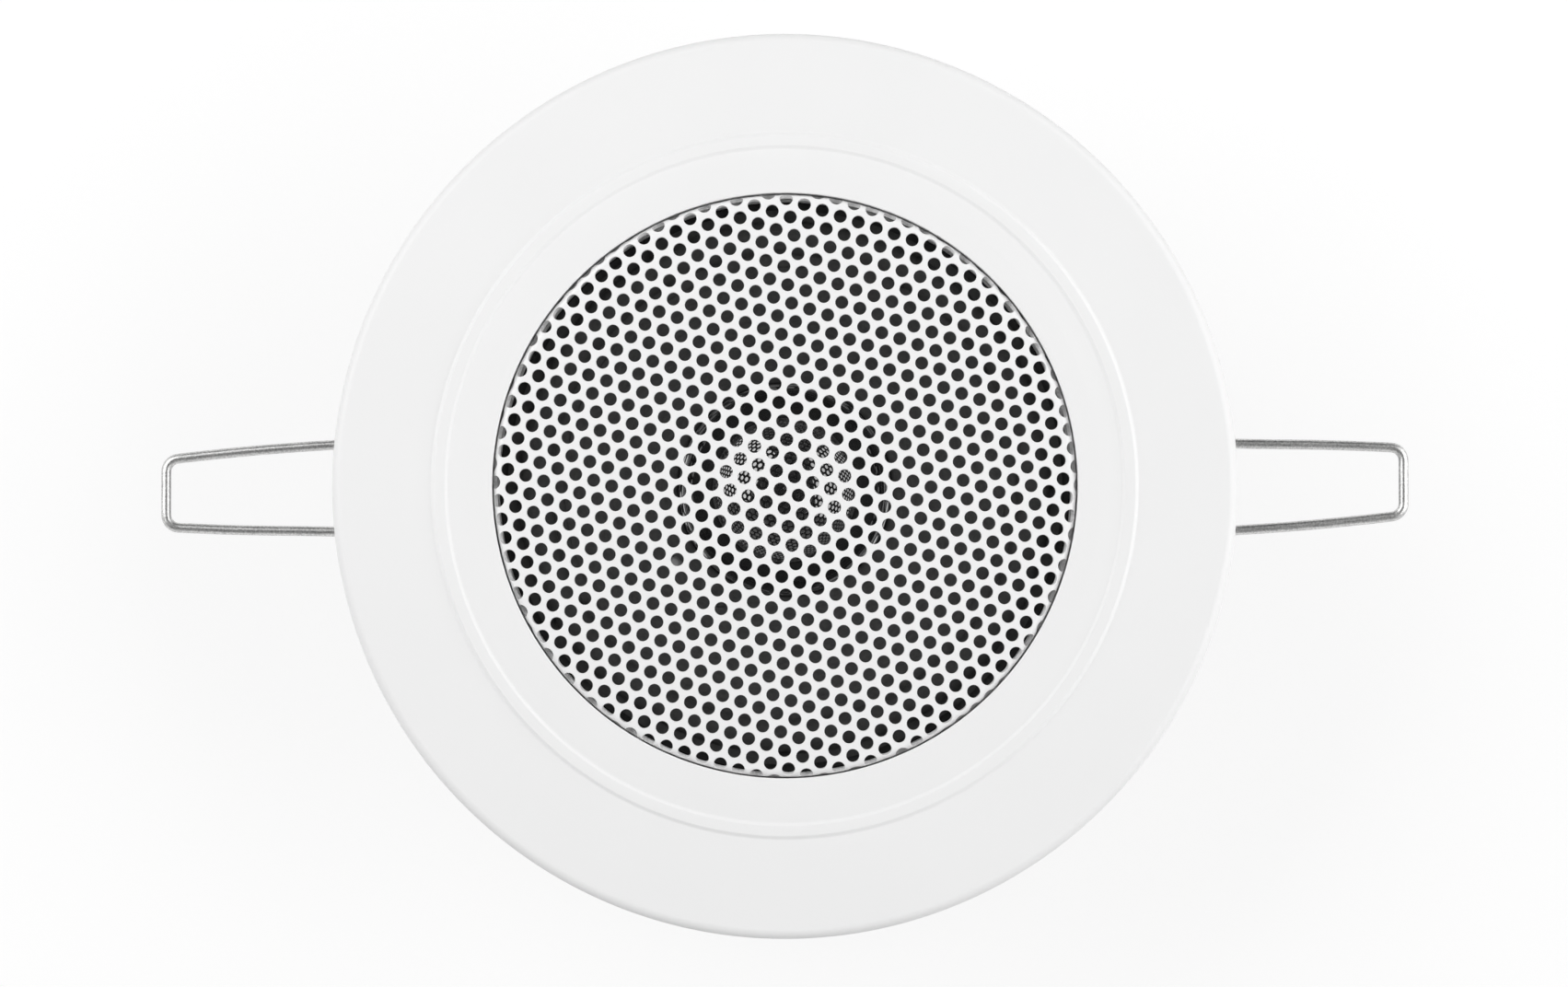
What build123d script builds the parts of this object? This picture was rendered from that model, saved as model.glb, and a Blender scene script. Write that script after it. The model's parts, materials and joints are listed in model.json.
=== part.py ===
from build123d import *
import math
import os

# In-ceiling speaker: a white moulded bezel with a perforated steel grille in front, a four-inch class
# full-range driver screwed in from behind and two sprung wire clips that clamp it into a ceiling cut-out.
# Millimetres. Z = 0 is the ceiling plane, the rear face of the bezel's flange. +Z points out of the
# face into the room, and the clips reach out along +X and -X.

# Bezel: one moulding with a flange, a raised band and a ring round the grille's bore, and a rear collar
flange_radius = 71.5
flange_thickness = 2.8
flange_edge_round = 1.5
band_outer_radius = 55.8
band_inner_radius = 53.2
band_rise = 0.4
band_drop = 0.25
band_flank = 0.5
crown_rise = 0.15
lip_round = 0.4
opening_radius = 46.2
bezel_wall = 2.2
ledge_width = 1.3
ledge_depth = 2.5
seat_depth = 6.0
collar_depth = 18.0
collar_clearance = 0.5
grip_rib_count = 6
grip_rib_width = 1.2
grip_rib_top = -0.5

# Grille: a perforated sheet drawn to a shallow dome with a rolled rim and a skirt
grille_sheet = 0.6
grille_gap = 0.4
grille_grip_clearance = 0.05
grille_top = 4.9
dome_edge_angle = 5.0
rim_roll_radius = 1.2
hole_radius = 2.4
hole_pitch = 7.2
hole_row_angle = -18.1
hole_offset = (-0.73, -0.72)
hole_rim_margin = 1.9

# Wire clips: a loop of round wire between two coils that sit on a pin
wire_diameter = 1.6
coil_pitch = 1.7
coil_full_turns = 3
coil_arcs_per_turn = 8
coil_tail = 5.5
clip_reach = 99.4
clip_corner_radius = 1.6
straight_arm_run = 11.8
straight_arm_bend_part = 0.85
straight_arm_tip = 6.37
pin_radius = 2.0
pin_head_radius = 3.0
pin_head_height = 1.0
pivot_depth = 12.0
lug_outer_face = 6.8
lug_thickness = 2.5
lug_radius = 3.2
clip_side_clearance = 0.3
coil_pin_clearance = 0.3
coil_pad_clearance = 0.2
pad_proud = 0.4
pad_margin = 0.5
pin_end_clearance = 0.3

# Driver basket: pressed sheet steel with four spokes
basket_flange_radius = 52.0
basket_sheet = 1.2
basket_rim_radius = 41.4
basket_rim_drop = 3.5
basket_wall_lean = 0.5
basket_bend_radius = 0.8
shelf_outer_radius = 28.5
shelf_inner_radius = 24.5
shelf_depth = 26.3
plate_bend_radius = 23.5
basket_plate_inner_radius = 16.5
basket_plate_depth = 31.3
spoke_count = 4
spoke_first_angle = 45.0
spoke_width = 9.0
window_inner_radius = 30.3
window_outer_radius = 39.4
window_corner_radius = 1.5
gasket_thickness = 1.0
gasket_inner_margin = 0.2

# Screws that hold the driver to the bezel
screw_count = 4
screw_first_angle = 45.0
screw_core_radius = 1.2
screw_hole_clearance = 0.05
screw_free_clearance = 0.5
screw_head_radius = 2.8
screw_head_height = 1.9
screw_length = 8.4
screw_slot_width = 0.9
screw_slot_depth = 1.0
boss_radius = 2.4
boss_inset = 0.2
pilot_depth_margin = 0.4

# Moving parts of the driver
bond_gap = 0.05
surround_sheet = 0.5
roll_inner_radius = 37.4
roll_outer_radius = 41.9
surround_lip_width = 2.2
cone_sheet = 0.6
cone_neck_depth = 21.0
cone_neck_length = 2.0
cone_rim_flat = 2.4
cap_sheet = 0.5
cap_radius = 15.7
cap_rise = 7.6
cap_rim_width = 1.4
former_outer_radius = 13.0
former_wall = 0.3
former_top_above_neck = 0.5
winding_thickness = 0.5
winding_length = 7.0
spider_sheet = 0.4
spider_land = 1.4
spider_waves = 5
spider_wave_height = 0.7

# Magnet system
top_plate_radius = 29.0
top_plate_thickness = 4.0
magnet_outer_radius = 30.0
magnet_inner_radius = 17.5
magnet_height = 10.0
yoke_radius = 28.5
yoke_thickness = 4.5
air_gap = 0.5
pole_gap = 0.4
edge_chamfer = 0.6
rivet_count = 4
rivet_circle_radius = 20.3
rivet_radius = 1.25
rivet_head_radius = 2.1
rivet_head_height = 0.8
rivet_clearance = 0.05
rivet_depth = 2.0
rivet_head_taper = 20.0

# Terminal board and leads
terminal_spoke = 2
board_width = 19.0
board_height = 9.0
board_thickness = 1.6
tab_thickness = 0.8
tab_widths = (4.8, 2.8)
tab_offset = 6.6
tab_top = 2.6
tab_foot = 2.6
tab_reach = 8.0
tab_barrel_radius = 1.1
tab_barrel_proud = 0.4
tab_eye_radius = 0.7
tab_eye_from_end = 2.2
eyelet_head_radius = 2.2
eyelet_shank_radius = 1.4
eyelet_head_height = 0.6
lead_radius = 0.45
lead_spread_angle = 14.0
lead_ring_radius = 20.6
lead_eyelet_radius = 1.1
lead_eyelet_head_radius = 1.6
lead_eyelet_head_height = 0.5
lead_sag_depth = 23.5
lead_sag_radius = 27.0
lead_run_in = 3.5

# Sizes that follow from the ones above
collar_inner_radius = basket_flange_radius + collar_clearance
collar_outer_radius = collar_inner_radius + bezel_wall
ledge_radius = opening_radius - ledge_width
band_height = flange_thickness + band_rise
ring_height = band_height - band_drop
screw_circle_radius = opening_radius + boss_radius + boss_inset
channel_top = ring_height - bezel_wall
grille_radius = opening_radius - grille_gap

coil_mean_radius = pin_radius + coil_pin_clearance + wire_diameter / 2
coil_outer_radius = coil_mean_radius + wire_diameter / 2
pad_face = collar_outer_radius + pad_proud
pivot_reach = pad_face + coil_pad_clearance + coil_outer_radius
arm_offset = lug_outer_face + clip_side_clearance + wire_diameter / 2
arm_slope = coil_pitch / (2 * math.pi * coil_mean_radius)
coil_arcs = coil_arcs_per_turn * round(coil_full_turns) + coil_arcs_per_turn // 4
coil_end = arm_offset + coil_pitch * coil_arcs / coil_arcs_per_turn + wire_diameter / 2
pin_half_length = coil_end + pin_end_clearance
pad_half_width = coil_end + coil_tail * arm_slope + pad_margin

basket_front = -(seat_depth + gasket_thickness)
basket_back = basket_front - basket_sheet
lip_bottom = basket_front
roll_radius = (roll_outer_radius - roll_inner_radius) / 2
roll_centre = (roll_outer_radius + roll_inner_radius) / 2
cone_neck_radius = former_outer_radius + bond_gap
cone_rim_radius = roll_inner_radius
cone_flat_radius = cone_rim_radius - cone_rim_flat
cone_slope = (lip_bottom + cone_neck_depth) / (cone_flat_radius - cone_neck_radius)
top_plate_front = -(basket_plate_depth + basket_sheet)
top_plate_back = top_plate_front - top_plate_thickness
magnet_back = top_plate_back - magnet_height
yoke_back = magnet_back - yoke_thickness
gap_middle = (top_plate_front + top_plate_back) / 2
winding_inner_radius = former_outer_radius + bond_gap
winding_outer_radius = winding_inner_radius + winding_thickness
pole_radius = former_outer_radius - former_wall - pole_gap

terminal_angle = spoke_first_angle + terminal_spoke * 360.0 / spoke_count
wall_foot = Vector(shelf_outer_radius, -shelf_depth)
wall_head = Vector(basket_rim_radius - basket_wall_lean, basket_front - basket_rim_drop)
wall_run = (wall_head - wall_foot).normalized()
wall_out = Vector(wall_run.Y, -wall_run.X)


def cone_front(radius):
    """Height of the cone's front face at a radius on its straight flank."""
    return -cone_neck_depth + (radius - cone_neck_radius) * cone_slope


def turned(edges):
    """Solid turned about Z from a closed outline drawn as radius and height."""
    return revolve(Plane.XZ * make_face(edges), Axis.Z)


def turned_sheet(path, thickness, side):
    """Thin shell turned about Z from one face of the sheet, thickened to one side."""
    outline = offset(path, amount=thickness, side=side, kind=Kind.INTERSECTION)
    return revolve(Plane.XZ * make_face(outline), Axis.Z)


def ring(outer, inner, low, high):
    """Plain ring between two radii and two heights."""
    profile = Circle(outer) - Circle(inner)
    return extrude(Pos(0, 0, low) * profile, high - low)


def disc(radius, low, height, taper=0.0):
    """Round bar that stands on a height, or hangs from it where its own height is negative."""
    return Pos(0, 0, low) * extrude(Circle(radius), height, taper=taper)


def around(count, first_angle=0.0):
    """Angles of an even circle of features."""
    return [first_angle + step * 360.0 / count for step in range(count)]


def on_circle(radius, angle, height=0.0):
    """Point at a radius and an angle about Z."""
    turn = math.radians(angle)
    return Vector(radius * math.cos(turn), radius * math.sin(turn), height)


def at_screws(solid):
    """Copies of a solid at the places of the driver's screws."""
    return [Pos(on_circle(screw_circle_radius, angle)) * solid
            for angle in around(screw_count, screw_first_angle)]


def at_rivets(solid):
    """Copies of a solid at the places of the rear plate's rivets."""
    return [Pos(on_circle(rivet_circle_radius, angle)) * solid for angle in around(rivet_count)]


def make_bezel():
    """White moulding: flange, raised band, grille bore and ledge, driver seat, collar and clip lugs."""
    lip_top = ring_height + crown_rise
    edge_start = flange_radius - flange_edge_round
    lip_start = opening_radius + lip_round
    crown_middle = (band_inner_radius + lip_start) / 2
    rear = [
        (opening_radius, lip_top - lip_round),
        (opening_radius, -ledge_depth),
        (ledge_radius, -ledge_depth),
        (ledge_radius, -seat_depth),
        (opening_radius + bezel_wall, -seat_depth),
        (opening_radius + bezel_wall, channel_top),
        (collar_inner_radius, channel_top),
        (collar_inner_radius, -collar_depth),
        (collar_outer_radius, -collar_depth),
        (collar_outer_radius, 0),
        (flange_radius, 0),
        (flange_radius, flange_thickness - flange_edge_round),
    ]
    front = [
        (edge_start, flange_thickness),
        (band_outer_radius, flange_thickness),
        (band_outer_radius - band_flank, band_height),
        (band_inner_radius + band_flank, band_height),
        (band_inner_radius, ring_height),
    ]
    outline = [
        CenterArc((edge_start, flange_thickness - flange_edge_round), flange_edge_round, 0, 90),
        Polyline(*front),
        ThreePointArc((band_inner_radius, ring_height), (crown_middle, lip_top), (lip_start, lip_top)),
        CenterArc((lip_start, lip_top - lip_round), lip_round, 90, 90),
        Polyline(*rear),
    ]
    bezel = turned(outline)

    bezel += at_screws(disc(boss_radius, -seat_depth, channel_top + seat_depth))

    rib_height = grille_gap - grille_grip_clearance
    rib_box = Box(rib_height + bezel_wall / 2, grip_rib_width, grip_rib_top + ledge_depth,
                  align=(Align.MIN, Align.CENTER, Align.MIN))
    rib = Pos(opening_radius - rib_height, 0, -ledge_depth) * rib_box
    for angle in around(grip_rib_count):
        bezel += Rot(0, 0, angle) * rib

    pad_box = Box(pad_face, 2 * pad_half_width, collar_depth,
                  align=(Align.MIN, Align.CENTER, Align.MAX))
    pad = pad_box - disc(collar_inner_radius, -collar_depth, collar_depth)
    lug_face = Pos(pivot_reach, -pivot_depth) * Circle(lug_radius)
    lug_face += Pos((pad_face + pivot_reach) / 2 - bezel_wall / 2, -pivot_depth) * Rectangle(
        pivot_reach - pad_face + bezel_wall, 2 * lug_radius)
    lug_face -= Pos(pivot_reach, -pivot_depth) * Circle(pin_radius)
    lug_plane = Plane.XZ.offset(-lug_outer_face)
    lug = extrude(lug_plane * lug_face, lug_thickness)
    lugs = [lug, mirror(lug, about=Plane.XZ)]
    for angle in around(2):
        bezel += Rot(0, 0, angle) * pad
        bezel += [Rot(0, 0, angle) * one for one in lugs]

    pilot_length = screw_length - basket_sheet - gasket_thickness + pilot_depth_margin
    pilot = disc(screw_core_radius + screw_hole_clearance, -seat_depth, pilot_length)
    return bezel - at_screws(pilot)


def hole_centres(limit):
    """Staggered rows of hole centres out to a radius."""
    rows = range(-math.ceil(2 * limit / hole_pitch), math.ceil(2 * limit / hole_pitch) + 1)
    turn = math.radians(hole_row_angle)
    centres = []
    for row in rows:
        for column in rows:
            along = (column + row / 2) * hole_pitch
            across = row * hole_pitch * math.sqrt(3) / 2
            x = hole_offset[0] + along * math.cos(turn) - across * math.sin(turn)
            y = hole_offset[1] + along * math.sin(turn) + across * math.cos(turn)
            if math.hypot(x, y) <= limit:
                centres.append((x, y))
    return centres


def make_grille():
    """Perforated steel sheet drawn to a shallow dome, its rim rolled down into a skirt on the bezel's ledge.

    The holes are punched square to the sheet, and each one stands for several of the real fine ones.
    """
    lean = math.radians(dome_edge_angle)
    edge = grille_radius - rim_roll_radius * (1 - math.sin(lean))
    dome_radius = edge / math.sin(lean)
    dome_middle = grille_top - dome_radius
    roll_middle = (grille_radius - rim_roll_radius,
                   dome_middle + (dome_radius - rim_roll_radius) * math.cos(lean))
    roll_sweep = 90 - dome_edge_angle
    skirt_inner = grille_radius - grille_sheet
    outline = [
        CenterArc((0, dome_middle), dome_radius, roll_sweep, dome_edge_angle),
        CenterArc(roll_middle, rim_roll_radius, 0, roll_sweep),
        Polyline((grille_radius, roll_middle[1]), (grille_radius, -ledge_depth),
                 (skirt_inner, -ledge_depth), (skirt_inner, roll_middle[1])),
        CenterArc(roll_middle, rim_roll_radius - grille_sheet, 0, roll_sweep),
        CenterArc((0, dome_middle), dome_radius - grille_sheet, roll_sweep, dome_edge_angle),
        Line((0, grille_top - grille_sheet), (0, grille_top)),
    ]
    drills = []
    for x, y in hole_centres(edge - hole_radius - hole_rim_margin):
        height = math.sqrt(dome_radius ** 2 - x ** 2 - y ** 2)
        punch = Plane(origin=(x, y, dome_middle + height), z_dir=(x, y, height))
        drills.append(punch * Cylinder(hole_radius, 4 * grille_sheet))
    return turned(outline) - drills


def make_gasket():
    """Soft ring between the bezel's seat and the basket, punched for the screws."""
    inner = ledge_radius + gasket_inner_margin
    gasket = ring(basket_flange_radius, inner, basket_front, -seat_depth)
    return gasket - at_screws(disc(screw_core_radius + screw_free_clearance, basket_front, gasket_thickness))


def make_basket():
    """Pressed steel basket: front flange, open conical wall with four spokes, spider shelf, rear plate."""
    corners = [
        (basket_plate_inner_radius, -basket_plate_depth),
        (plate_bend_radius, -basket_plate_depth),
        (shelf_inner_radius, -shelf_depth),
        (shelf_outer_radius, -shelf_depth),
        (wall_head.X, wall_head.Y),
        (basket_rim_radius, basket_front),
        (basket_flange_radius, basket_front),
    ]
    basket = turned_sheet(FilletPolyline(*corners, radius=basket_bend_radius), basket_sheet, Side.RIGHT)

    window = ring(window_outer_radius, window_inner_radius, -basket_plate_depth, basket_front)
    spoke_box = Box(2 * window_outer_radius, spoke_width, 4 * basket_plate_depth,
                    align=(Align.MIN, Align.CENTER, Align.CENTER))
    for angle in around(spoke_count, spoke_first_angle):
        window -= Rot(0, 0, angle) * spoke_box
    window = fillet(window.edges().filter_by(Axis.Z), window_corner_radius)
    basket -= window

    basket -= at_screws(disc(screw_core_radius + screw_free_clearance, basket_back, basket_sheet))
    basket -= at_rivets(disc(rivet_radius + rivet_clearance, top_plate_front, basket_sheet))
    eyelet_hole = Cylinder(eyelet_shank_radius + rivet_clearance, 4 * basket_sheet)
    return basket - terminal_plane() * eyelet_hole


def make_surround():
    """Half-roll rubber surround, glued by flat lips to the basket's flange and the cone's rim."""
    inner_lip = Line((roll_inner_radius - surround_lip_width, lip_bottom), (roll_inner_radius, lip_bottom))
    roll = CenterArc((roll_centre, lip_bottom), roll_radius, 180, -180)
    outer_lip = Line((roll_outer_radius, lip_bottom), (roll_outer_radius + surround_lip_width, lip_bottom))
    path = Wire([*inner_lip.edges(), *roll.edges(), *outer_lip.edges()])
    return turned_sheet(path, surround_sheet, Side.LEFT)


def lead_spots():
    """Places on the cone's flank where the leads are eyeleted, each square to the cone."""
    spots = []
    for angle in (terminal_angle - lead_spread_angle, terminal_angle + lead_spread_angle):
        place = on_circle(lead_ring_radius, angle, cone_front(lead_ring_radius))
        away = on_circle(-cone_slope, angle, 1.0)
        spots.append(Plane(origin=place, z_dir=away))
    return spots


def make_cone():
    """Paper cone with a short neck glued round the former and a flat rim under the surround."""
    path = Polyline(
        (cone_neck_radius, -cone_neck_depth - cone_neck_length),
        (cone_neck_radius, -cone_neck_depth),
        (cone_flat_radius, lip_bottom),
        (cone_rim_radius, lip_bottom),
    )
    cone = turned_sheet(path, cone_sheet, Side.RIGHT)
    hole = Cylinder(lead_eyelet_radius + rivet_clearance, 4 * cone_sheet)
    return cone - [spot * hole for spot in lead_spots()]


def make_dust_cap():
    """Glossy domed cap over the voice coil, with a conical rim glued to the cone."""
    foot = cone_front(cap_radius) + bond_gap
    dome_radius = (cap_radius ** 2 + cap_rise ** 2) / (2 * cap_rise)
    half_angle = math.degrees(math.asin(cap_radius / dome_radius))
    dome = CenterArc((0, foot + cap_rise - dome_radius), dome_radius, 90, -half_angle)
    rim = Line((cap_radius, foot), (cap_radius + cap_rim_width, foot + cap_rim_width * cone_slope))
    path = Wire([*dome.edges(), *rim.edges()])
    return turned_sheet(path, cap_sheet, Side.LEFT)


def make_former():
    """Thin tube that carries the winding and joins the cone, the spider and the dust cap."""
    low = gap_middle - winding_length / 2
    high = -cone_neck_depth + former_top_above_neck
    return ring(former_outer_radius, former_outer_radius - former_wall, low, high)


def make_winding():
    """Copper winding on the former, centred in the magnet's gap."""
    low = gap_middle - winding_length / 2
    return ring(winding_outer_radius, winding_inner_radius, low, low + winding_length)


def make_spider():
    """Corrugated cloth disc that centres the coil, glued to the basket's shelf and the former."""
    inner = former_outer_radius + bond_gap
    wave_start = inner + spider_land
    wave_width = (shelf_inner_radius - wave_start) / spider_waves
    level = -shelf_depth
    points = [(inner, level), (wave_start, level)]
    for step in range(spider_waves):
        start = wave_start + step * wave_width
        points.append((start + wave_width / 4, level + spider_wave_height))
        points.append((start + wave_width * 3 / 4, level - spider_wave_height))
    points.append((shelf_inner_radius, level))
    points.append((shelf_outer_radius - spider_land, level))
    return turned_sheet(Polyline(*points), spider_sheet, Side.LEFT)


def make_top_plate():
    """Soft iron front plate with the gap's bore and blind holes for the basket's rivets."""
    plate = ring(top_plate_radius, winding_outer_radius + air_gap, top_plate_back, top_plate_front)
    return plate - at_rivets(disc(rivet_radius + rivet_clearance, top_plate_front, -rivet_depth))


def make_magnet():
    """Ferrite ring with broken edges."""
    magnet = ring(magnet_outer_radius, magnet_inner_radius, magnet_back, top_plate_back)
    return chamfer(magnet.edges(), edge_chamfer)


def make_yoke():
    """Back plate and centre pole, forged in one piece."""
    outline = Polyline(
        (0, yoke_back),
        (yoke_radius - edge_chamfer, yoke_back),
        (yoke_radius, yoke_back + edge_chamfer),
        (yoke_radius, magnet_back),
        (pole_radius, magnet_back),
        (pole_radius, top_plate_front - edge_chamfer),
        (pole_radius - edge_chamfer, top_plate_front),
        (0, top_plate_front),
        close=True,
    )
    return turned(outline)


def make_plate_rivets():
    """Rivets that clinch the basket's rear plate to the top plate."""
    shank = disc(rivet_radius, top_plate_front - rivet_depth, rivet_depth + basket_sheet)
    head = disc(rivet_head_radius, -basket_plate_depth, rivet_head_height, rivet_head_taper)
    return Compound(children=at_rivets(shank + head))


def make_driver_screws():
    """Pan-head screws that hold the driver's flange to the bezel's bosses."""
    shank = disc(screw_core_radius, basket_back, screw_length)
    head = disc(screw_head_radius, basket_back, -screw_head_height)
    head = fillet(head.faces().sort_by(Axis.Z)[0].edges(), screw_head_height / 2)
    slot = Box(screw_head_radius, screw_slot_width, screw_slot_depth)
    cross = Pos(0, 0, basket_back - screw_head_height + screw_slot_depth / 2) * (slot + Rot(0, 0, 90) * slot)
    return Compound(children=at_screws(shank + head - cross))


def terminal_plane():
    """Plane on the outside of one spoke: X along the rim, Y up the wall, Z away from the basket."""
    middle = (wall_foot + wall_head) * 0.5 + wall_out * (basket_sheet + bond_gap)
    place = on_circle(middle.X, terminal_angle, middle.Y)
    away = on_circle(wall_out.X, terminal_angle, wall_out.Y)
    rim = on_circle(1.0, terminal_angle + 90)
    return Plane(origin=place, x_dir=rim, z_dir=away)


def tab_places():
    """Sideways places of the two tabs on the board."""
    return (-tab_offset, tab_offset)


def make_terminal_board():
    """Laminate strip riveted to a spoke, with holes for the tabs' barrels."""
    board = extrude(RectangleRounded(board_width, board_height, edge_chamfer), board_thickness)
    board -= Cylinder(eyelet_shank_radius + rivet_clearance, 4 * board_thickness)
    barrel_hole = Cylinder(tab_barrel_radius + rivet_clearance, 4 * board_thickness)
    board -= [Pos(x, 0) * barrel_hole for x in tab_places()]
    return terminal_plane() * board


def make_terminal_tab(x, width):
    """Angled brass tab staked through the board by its barrel, its blade standing out with an eye in it."""
    foot = Pos(x, (tab_top - tab_foot) / 2, board_thickness) * Rectangle(width, tab_top + tab_foot)
    tab = extrude(foot, tab_thickness)
    blade = Box(width, tab_thickness, tab_reach, align=(Align.CENTER, Align.MIN, Align.MIN))
    blade = chamfer(blade.faces().sort_by(Axis.Z)[-1].edges().filter_by(Axis.Y), edge_chamfer)
    eye = Rot(90, 0, 0) * Cylinder(tab_eye_radius, 4 * tab_thickness)
    blade -= Pos(0, 0, tab_reach - tab_eye_from_end) * eye
    tab += Pos(x, -tab_foot, board_thickness) * blade
    tab += Pos(x, 0) * disc(tab_barrel_radius, -tab_barrel_proud, board_thickness + tab_barrel_proud)
    return terminal_plane() * tab


def make_terminal_eyelet():
    """Rivet through the board and the spoke."""
    inside = -bond_gap - basket_sheet
    shank = disc(eyelet_shank_radius, inside - bond_gap, board_thickness - inside + bond_gap)
    outer_head = disc(eyelet_head_radius, board_thickness, eyelet_head_height, rivet_head_taper)
    inner_head = disc(eyelet_head_radius, inside - bond_gap, -eyelet_head_height, rivet_head_taper)
    return terminal_plane() * (shank + outer_head + inner_head)


def make_lead_eyelets():
    """Brass eyelets in the cone where the leads meet the coil's wires."""
    back = -cone_sheet - bond_gap
    shank = disc(lead_eyelet_radius, back, cone_sheet + 2 * bond_gap)
    front_head = disc(lead_eyelet_head_radius, bond_gap, lead_eyelet_head_height, rivet_head_taper)
    back_head = disc(lead_eyelet_head_radius, back, -lead_eyelet_head_height, rivet_head_taper)
    eyelet = shank + front_head + back_head
    return Compound(children=[spot * eyelet for spot in lead_spots()])


def make_lead(x, spot):
    """Flexible braided lead from a tab's barrel, sagging under the cone, to its eyelet."""
    board = terminal_plane()
    start = board.from_local_coords(Vector(x, 0, -tab_barrel_proud - bond_gap))
    leave = board.from_local_coords(Vector(x, 0, -tab_barrel_proud - lead_run_in))
    end = spot.from_local_coords(Vector(0, 0, -cone_sheet - 2 * bond_gap - lead_eyelet_head_height))
    arrive = spot.from_local_coords(Vector(0, 0, -cone_sheet - lead_eyelet_head_height - lead_run_in))
    middle_angle = math.degrees(math.atan2((leave.Y + arrive.Y) / 2, (leave.X + arrive.X) / 2))
    sag = on_circle(lead_sag_radius, middle_angle, -lead_sag_depth)
    path = FilletPolyline(start, leave, sag, arrive, end, radius=lead_run_in / 2)
    section = Plane(path @ 0, z_dir=path % 0) * Circle(lead_radius)
    return sweep(section, path=path)


def make_clip_pin():
    """Headed steel pin pressed through the two lugs, long enough to carry both coils."""
    half = pin_half_length
    shaft = Rot(90, 0, 0) * Cylinder(pin_radius, 2 * half)
    head = Rot(90, 0, 0) * Cylinder(pin_head_radius, pin_head_height)
    head = chamfer(head.edges(), pin_head_height / 4)
    ends = [Pos(0, side * (half + pin_head_height / 2), 0) * head for side in (1, -1)]
    return Pos(pivot_reach, 0, -pivot_depth) * (shaft + ends)


def coil_corner(step):
    """Corner of the many-sided spiral that the coil's arcs round off, half a step before each arc's end."""
    turn = math.radians(360.0 * (step - 0.5) / coil_arcs_per_turn)
    corner_radius = coil_mean_radius / math.cos(math.pi / coil_arcs_per_turn)
    return Vector(pivot_reach - corner_radius * math.sin(turn),
                  arm_offset + coil_pitch * (step - 0.5) / coil_arcs_per_turn,
                  corner_radius * math.cos(turn) - pivot_depth)


def make_clip_coils():
    """Fixed part of the sprung wire: a coil on each end of the pin and its tail against the bezel's pad."""
    edges = []
    for step in range(1, coil_arcs + 1):
        corner = coil_corner(step)
        start = (coil_corner(step - 1) + corner) * 0.5
        end = (corner + coil_corner(step + 1)) * 0.5
        half_side = (end - corner).length
        half_turn = math.acos((end - start).length / (2 * half_side))
        height = half_side * math.sin(half_turn)
        rise = half_side * math.tan(half_turn / 2) * math.cos(half_turn)
        chord_middle = (start + end) * 0.5
        edges += ThreePointArc(start, chord_middle + (corner - chord_middle) * (rise / height), end).edges()
    edges += Line(end, end + (end - corner).normalized() * coil_tail).edges()
    path = Wire(edges)
    section = Plane(path @ 0, z_dir=path % 0) * Circle(wire_diameter / 2)
    coil = sweep(section, path=path)
    return Compound(children=[coil, mirror(coil, about=Plane.XZ)])


def make_clip_loop():
    """Swinging part of the sprung wire: two arms, one drawn in towards the other, and the end bar."""
    bar = clip_reach - wire_diameter / 2
    bend_place = pivot_reach + straight_arm_run
    bend_offset = arm_offset - straight_arm_run * arm_slope
    bend_turn = math.atan(arm_slope) - math.atan((bend_offset - straight_arm_tip) / (bar - bend_place))
    bend_radius = straight_arm_bend_part * straight_arm_run / math.tan(abs(bend_turn) / 2)
    points = [
        (pivot_reach, -arm_offset),
        (bar, -arm_offset + (bar - pivot_reach) * arm_slope),
        (bar, straight_arm_tip),
        (bend_place, bend_offset),
        (pivot_reach, arm_offset),
    ]
    bends = [clip_corner_radius, clip_corner_radius, bend_radius]
    arm_height = coil_mean_radius - pivot_depth
    path = Pos(0, 0, arm_height) * FilletPolyline(*points, radius=bends)
    section = Plane(path @ 0, z_dir=path % 0) * Circle(wire_diameter / 2)
    return sweep(section, path=path)


def make_parts():
    """Every piece of the speaker, by name."""
    left = Rot(0, 0, 180)
    pin = make_clip_pin()
    coils = make_clip_coils()
    loop = make_clip_loop()
    parts = {
        "bezel": make_bezel(),
        "grille": make_grille(),
        "driver_gasket": make_gasket(),
        "driver_screws": make_driver_screws(),
        "basket": make_basket(),
        "surround": make_surround(),
        "cone": make_cone(),
        "dust_cap": make_dust_cap(),
        "coil_former": make_former(),
        "voice_coil": make_winding(),
        "spider": make_spider(),
        "top_plate": make_top_plate(),
        "magnet": make_magnet(),
        "yoke": make_yoke(),
        "plate_rivets": make_plate_rivets(),
        "terminal_board": make_terminal_board(),
        "terminal_eyelet": make_terminal_eyelet(),
        "lead_eyelets": make_lead_eyelets(),
        "right_clip_pin": pin,
        "right_clip_coils": coils,
        "right_clip_loop": loop,
        "left_clip_pin": left * pin,
        "left_clip_coils": left * coils,
        "left_clip_loop": left * loop,
    }
    signs = ("positive", "negative")
    for sign, x, width, spot in zip(signs, tab_places(), tab_widths, lead_spots()):
        parts[f"{sign}_tab"] = make_terminal_tab(x, width)
        parts[f"{sign}_lead"] = make_lead(x, spot)
    return parts


os.makedirs("parts", exist_ok=True)
for name, solid in make_parts().items():
    export_step(solid, f"parts/{name}.step")
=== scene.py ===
import json
import math

import bmesh
import bpy
import numpy as np
from mathutils import Matrix, Vector, noise


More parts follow.
